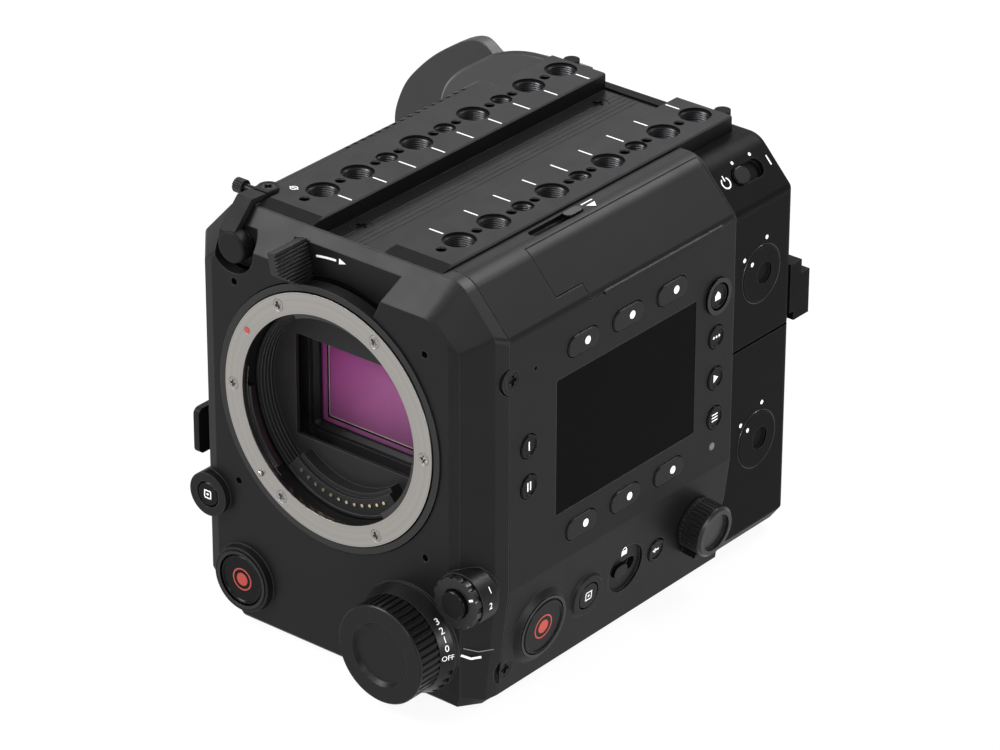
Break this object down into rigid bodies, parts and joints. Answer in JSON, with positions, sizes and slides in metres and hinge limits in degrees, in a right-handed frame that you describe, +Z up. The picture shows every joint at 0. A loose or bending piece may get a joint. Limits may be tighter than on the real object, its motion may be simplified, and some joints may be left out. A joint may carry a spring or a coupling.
{
  "type": "box-shaped cinema camera body",
  "caption": "Box-shaped dark grey digital camera body without a lens: large bayonet mount, drilled top rails, side display with keys, dials, and a viewfinder at the left rear.",
  "frame": {"origin": "centre of the lens mount ring's front face, on the lens axis", "axes": "+X towards the side with the display, +Y from the lens mount to the rear, +Z up"},
  "size_m": [0.2004, 0.2111, 0.1355],
  "materials": {
    "body_metal": "dark grey satin paint",
    "plate_metal": "dark grey anodised",
    "inner_metal": "black anodised",
    "mount_steel": "ground stainless",
    "screw_steel": "polished",
    "black_screw": "black oxide",
    "gold_contact": "gold plated",
    "baffle_black": "black",
    "button_plastic": "black satin",
    "dial_metal": "black anodised",
    "rubber_black": "matt",
    "display_black": "gloss",
    "sensor_glass": "coated",
    "sensor_face": "iridescent",
    "lens_glass": "coated",
    "lamp": "clear",
    "battery_plastic": "black",
    "finder_metal": "dark grey satin"
  },
  "bodies": {
    "camera_body": {"main_chassis": "inner_metal", "front_housing": "body_metal", "right_side_panel": "body_metal", "left_side_panel": "body_metal", "rear_housing": "body_metal", "top_plate": "plate_metal", "base_plate": "plate_metal", "lens_mount_ring": "mount_steel", "mount_screws": "screw_steel", "mount_tunnel": "baffle_black", "contact_pins": "gold_contact", "sensor_frame": "baffle_black", "image_sensor": "sensor_face", "sensor_glass": "sensor_glass", "display_glass": "display_black", "status_lamp": "lamp", "button_bezels": "dial_metal", "cover_screws": "black_screw", "tape_hook": "dial_metal", "sync_terminal": "screw_steel", "strap_anchor": "rubber_black", "battery_pack": "battery_plastic"},
    "lens_lock_ring": {"lens_lock_ring": "inner_metal"},
    "lens_lock_pin": {"lens_lock_pin": "screw_steel"},
    "nd_dial": {"nd_dial": "dial_metal"},
    "nd_mode_ring": {"nd_mode_ring": "dial_metal"},
    "focus_mode_knob": {"focus_mode_knob": "dial_metal"},
    "focus_button": {"focus_button": "button_plastic"},
    "front_record_button": {"front_record_button": "button_plastic"},
    "left_grab_button": {"left_grab_button": "button_plastic"},
    "home_button": {"home_button": "button_plastic"},
    "user_button": {"user_button": "button_plastic"},
    "play_button": {"play_button": "button_plastic"},
    "menu_button": {"menu_button": "button_plastic"},
    "function_button_1": {"function_button_1": "button_plastic"},
    "function_button_2": {"function_button_2": "button_plastic"},
    "soft_key_1": {"soft_key_1": "button_plastic"},
    "soft_key_2": {"soft_key_2": "button_plastic"},
    "soft_key_3": {"soft_key_3": "button_plastic"},
    "soft_key_4": {"soft_key_4": "button_plastic"},
    "soft_key_5": {"soft_key_5": "button_plastic"},
    "soft_key_6": {"soft_key_6": "button_plastic"},
    "side_record_button": {"side_record_button": "button_plastic"},
    "side_grab_button": {"side_grab_button": "button_plastic"},
    "back_button": {"back_button": "button_plastic"},
    "lock_slide": {"lock_slide": "button_plastic"},
    "jog_dial": {"jog_dial": "dial_metal"},
    "card_door": {"card_door": "body_metal"},
    "eject_slider": {"eject_slider": "button_plastic"},
    "power_switch": {"power_switch": "button_plastic"},
    "upper_door": {"upper_door": "body_metal"},
    "lower_door": {"lower_door": "body_metal"},
    "upper_door_knob": {"upper_door_knob": "dial_metal"},
    "lower_door_knob": {"lower_door_knob": "dial_metal"},
    "terminal_cap": {"terminal_cap": "rubber_black"},
    "terminal_door": {"terminal_door": "rubber_black"},
    "evf_arm": {"evf_arm": "inner_metal"},
    "finder": {"evf_housing": "finder_metal", "evf_lens": "lens_glass", "evf_eyecup": "rubber_black"}
  },
  "joints": [
    {"name": "lens_lock_turn", "type": "hinge", "parent": "camera_body", "child": "lens_lock_ring", "pos_m": [0, 0, 0], "axis": [0, 1, 0], "range_deg": [0, 34]},
    {"name": "lens_lock_pin_slide", "type": "slide", "parent": "camera_body", "child": "lens_lock_pin", "axis": [0, 1, 0], "range_m": [0, 0.0012]},
    {"name": "filter_dial_turn", "type": "hinge", "parent": "camera_body", "child": "nd_dial", "pos_m": [0.0301, -0.009, -0.0604], "axis": [0, 1, 0], "continuous": true},
    {"name": "filter_mode_turn", "type": "hinge", "parent": "camera_body", "child": "nd_mode_ring", "pos_m": [0.0301, -0.002, -0.0604], "axis": [0, 1, 0], "range_deg": [-45, 45]},
    {"name": "focus_mode_turn", "type": "hinge", "parent": "camera_body", "child": "focus_mode_knob", "pos_m": [0.0502, -0.002, -0.0403], "axis": [0, 1, 0], "range_deg": [0, 40]},
    {"name": "focus_button_push", "type": "slide", "parent": "focus_mode_knob", "child": "focus_button", "axis": [0, 1, 0], "range_m": [0, 0.0006], "stiffness_N_per_m": 400},
    {"name": "front_record_button_push", "type": "slide", "parent": "camera_body", "child": "front_record_button", "axis": [0, 1, 0], "range_m": [0, 0.0006], "stiffness_N_per_m": 400},
    {"name": "left_grab_button_push", "type": "slide", "parent": "camera_body", "child": "left_grab_button", "axis": [0, 1, 0], "range_m": [0, 0.0006], "stiffness_N_per_m": 400},
    {"name": "home_button_push", "type": "slide", "parent": "camera_body", "child": "home_button", "axis": [-1, 0, 0], "range_m": [0, 0.0006], "stiffness_N_per_m": 400},
    {"name": "user_button_push", "type": "slide", "parent": "camera_body", "child": "user_button", "axis": [-1, 0, 0], "range_m": [0, 0.0006], "stiffness_N_per_m": 400},
    {"name": "play_button_push", "type": "slide", "parent": "camera_body", "child": "play_button", "axis": [-1, 0, 0], "range_m": [0, 0.0006], "stiffness_N_per_m": 400},
    {"name": "menu_button_push", "type": "slide", "parent": "camera_body", "child": "menu_button", "axis": [-1, 0, 0], "range_m": [0, 0.0006], "stiffness_N_per_m": 400},
    {"name": "function_button_1_push", "type": "slide", "parent": "camera_body", "child": "function_button_1", "axis": [-1, 0, 0], "range_m": [0, 0.0006], "stiffness_N_per_m": 400},
    {"name": "function_button_2_push", "type": "slide", "parent": "camera_body", "child": "function_button_2", "axis": [-1, 0, 0], "range_m": [0, 0.0006], "stiffness_N_per_m": 400},
    {"name": "soft_key_1_push", "type": "slide", "parent": "camera_body", "child": "soft_key_1", "axis": [-1, 0, 0], "range_m": [0, 0.0006], "stiffness_N_per_m": 400},
    {"name": "soft_key_2_push", "type": "slide", "parent": "camera_body", "child": "soft_key_2", "axis": [-1, 0, 0], "range_m": [0, 0.0006], "stiffness_N_per_m": 400},
    {"name": "soft_key_3_push", "type": "slide", "parent": "camera_body", "child": "soft_key_3", "axis": [-1, 0, 0], "range_m": [0, 0.0006], "stiffness_N_per_m": 400},
    {"name": "soft_key_4_push", "type": "slide", "parent": "camera_body", "child": "soft_key_4", "axis": [-1, 0, 0], "range_m": [0, 0.0006], "stiffness_N_per_m": 400},
    {"name": "soft_key_5_push", "type": "slide", "parent": "camera_body", "child": "soft_key_5", "axis": [-1, 0, 0], "range_m": [0, 0.0006], "stiffness_N_per_m": 400},
    {"name": "soft_key_6_push", "type": "slide", "parent": "camera_body", "child": "soft_key_6", "axis": [-1, 0, 0], "range_m": [0, 0.0006], "stiffness_N_per_m": 400},
    {"name": "side_record_button_push", "type": "slide", "parent": "camera_body", "child": "side_record_button", "axis": [-0.9921, 0, 0.1251], "range_m": [0, 0.0006], "stiffness_N_per_m": 400},
    {"name": "side_grab_button_push", "type": "slide", "parent": "camera_body", "child": "side_grab_button", "axis": [-0.9921, 0, 0.1251], "range_m": [0, 0.0006], "stiffness_N_per_m": 400},
    {"name": "back_button_push", "type": "slide", "parent": "camera_body", "child": "back_button", "axis": [-0.9921, 0, 0.1251], "range_m": [0, 0.0006], "stiffness_N_per_m": 400},
    {"name": "lock_slide_move", "type": "slide", "parent": "camera_body", "child": "lock_slide", "axis": [0, 1, 0], "range_m": [0, 0.0044]},
    {"name": "jog_dial_turn", "type": "hinge", "parent": "camera_body", "child": "jog_dial", "pos_m": [0.054, 0.1034, -0.0582], "axis": [0.9921, 0, -0.1251], "continuous": true},
    {"name": "card_door_hinge", "type": "hinge", "parent": "camera_body", "child": "card_door", "pos_m": [0.056, 0.078, 0.03725], "axis": [0, 1, 0], "range_deg": [0, 95]},
    {"name": "eject_slide", "type": "slide", "parent": "camera_body", "child": "eject_slider", "axis": [0, -1, 0], "range_m": [0, 0.015]},
    {"name": "power_slide", "type": "slide", "parent": "camera_body", "child": "power_switch", "axis": [0, 1, 0], "range_m": [0, 0.0069]},
    {"name": "upper_door_hinge", "type": "hinge", "parent": "camera_body", "child": "upper_door", "pos_m": [-0.0508, 0.1476, 0.013], "axis": [0, 0, 1], "range_deg": [0, 90]},
    {"name": "lower_door_hinge", "type": "hinge", "parent": "camera_body", "child": "lower_door", "pos_m": [-0.0508, 0.1476, -0.041], "axis": [0, 0, 1], "range_deg": [0, 90]},
    {"name": "upper_knob_turn", "type": "hinge", "parent": "upper_door", "child": "upper_door_knob", "pos_m": [0.054, 0.1338, 0.0127], "axis": [1, 0, 0], "range_deg": [0, 45]},
    {"name": "lower_knob_turn", "type": "hinge", "parent": "lower_door", "child": "lower_door_knob", "pos_m": [0.054, 0.1338, -0.043], "axis": [1, 0, 0], "range_deg": [0, 45]},
    {"name": "terminal_cap_lift", "type": "hinge", "parent": "camera_body", "child": "terminal_cap", "pos_m": [-0.0379, 0.01435, 0.0548], "axis": [-1, 0, 0], "range_deg": [0, 100]},
    {"name": "terminal_door_hinge", "type": "hinge", "parent": "camera_body", "child": "terminal_door", "pos_m": [-0.05735, 0.072, -0.0255], "axis": [0, 0, -1], "range_deg": [0, 100]},
    {"name": "finder_slide", "type": "slide", "parent": "camera_body", "child": "evf_arm", "axis": [0, 1, 0], "range_m": [0, 0.025]},
    {"name": "finder_tilt", "type": "hinge", "parent": "evf_arm", "child": "finder", "pos_m": [-0.065, 0.1785, 0], "axis": [1, 0, 0], "range_deg": [0, 38]}
  ],
  "couplings": [
    {"joint": "lens_lock_pin_slide", "follows": "lens_lock_turn", "m_per_rad": 0.00202}
  ]
}
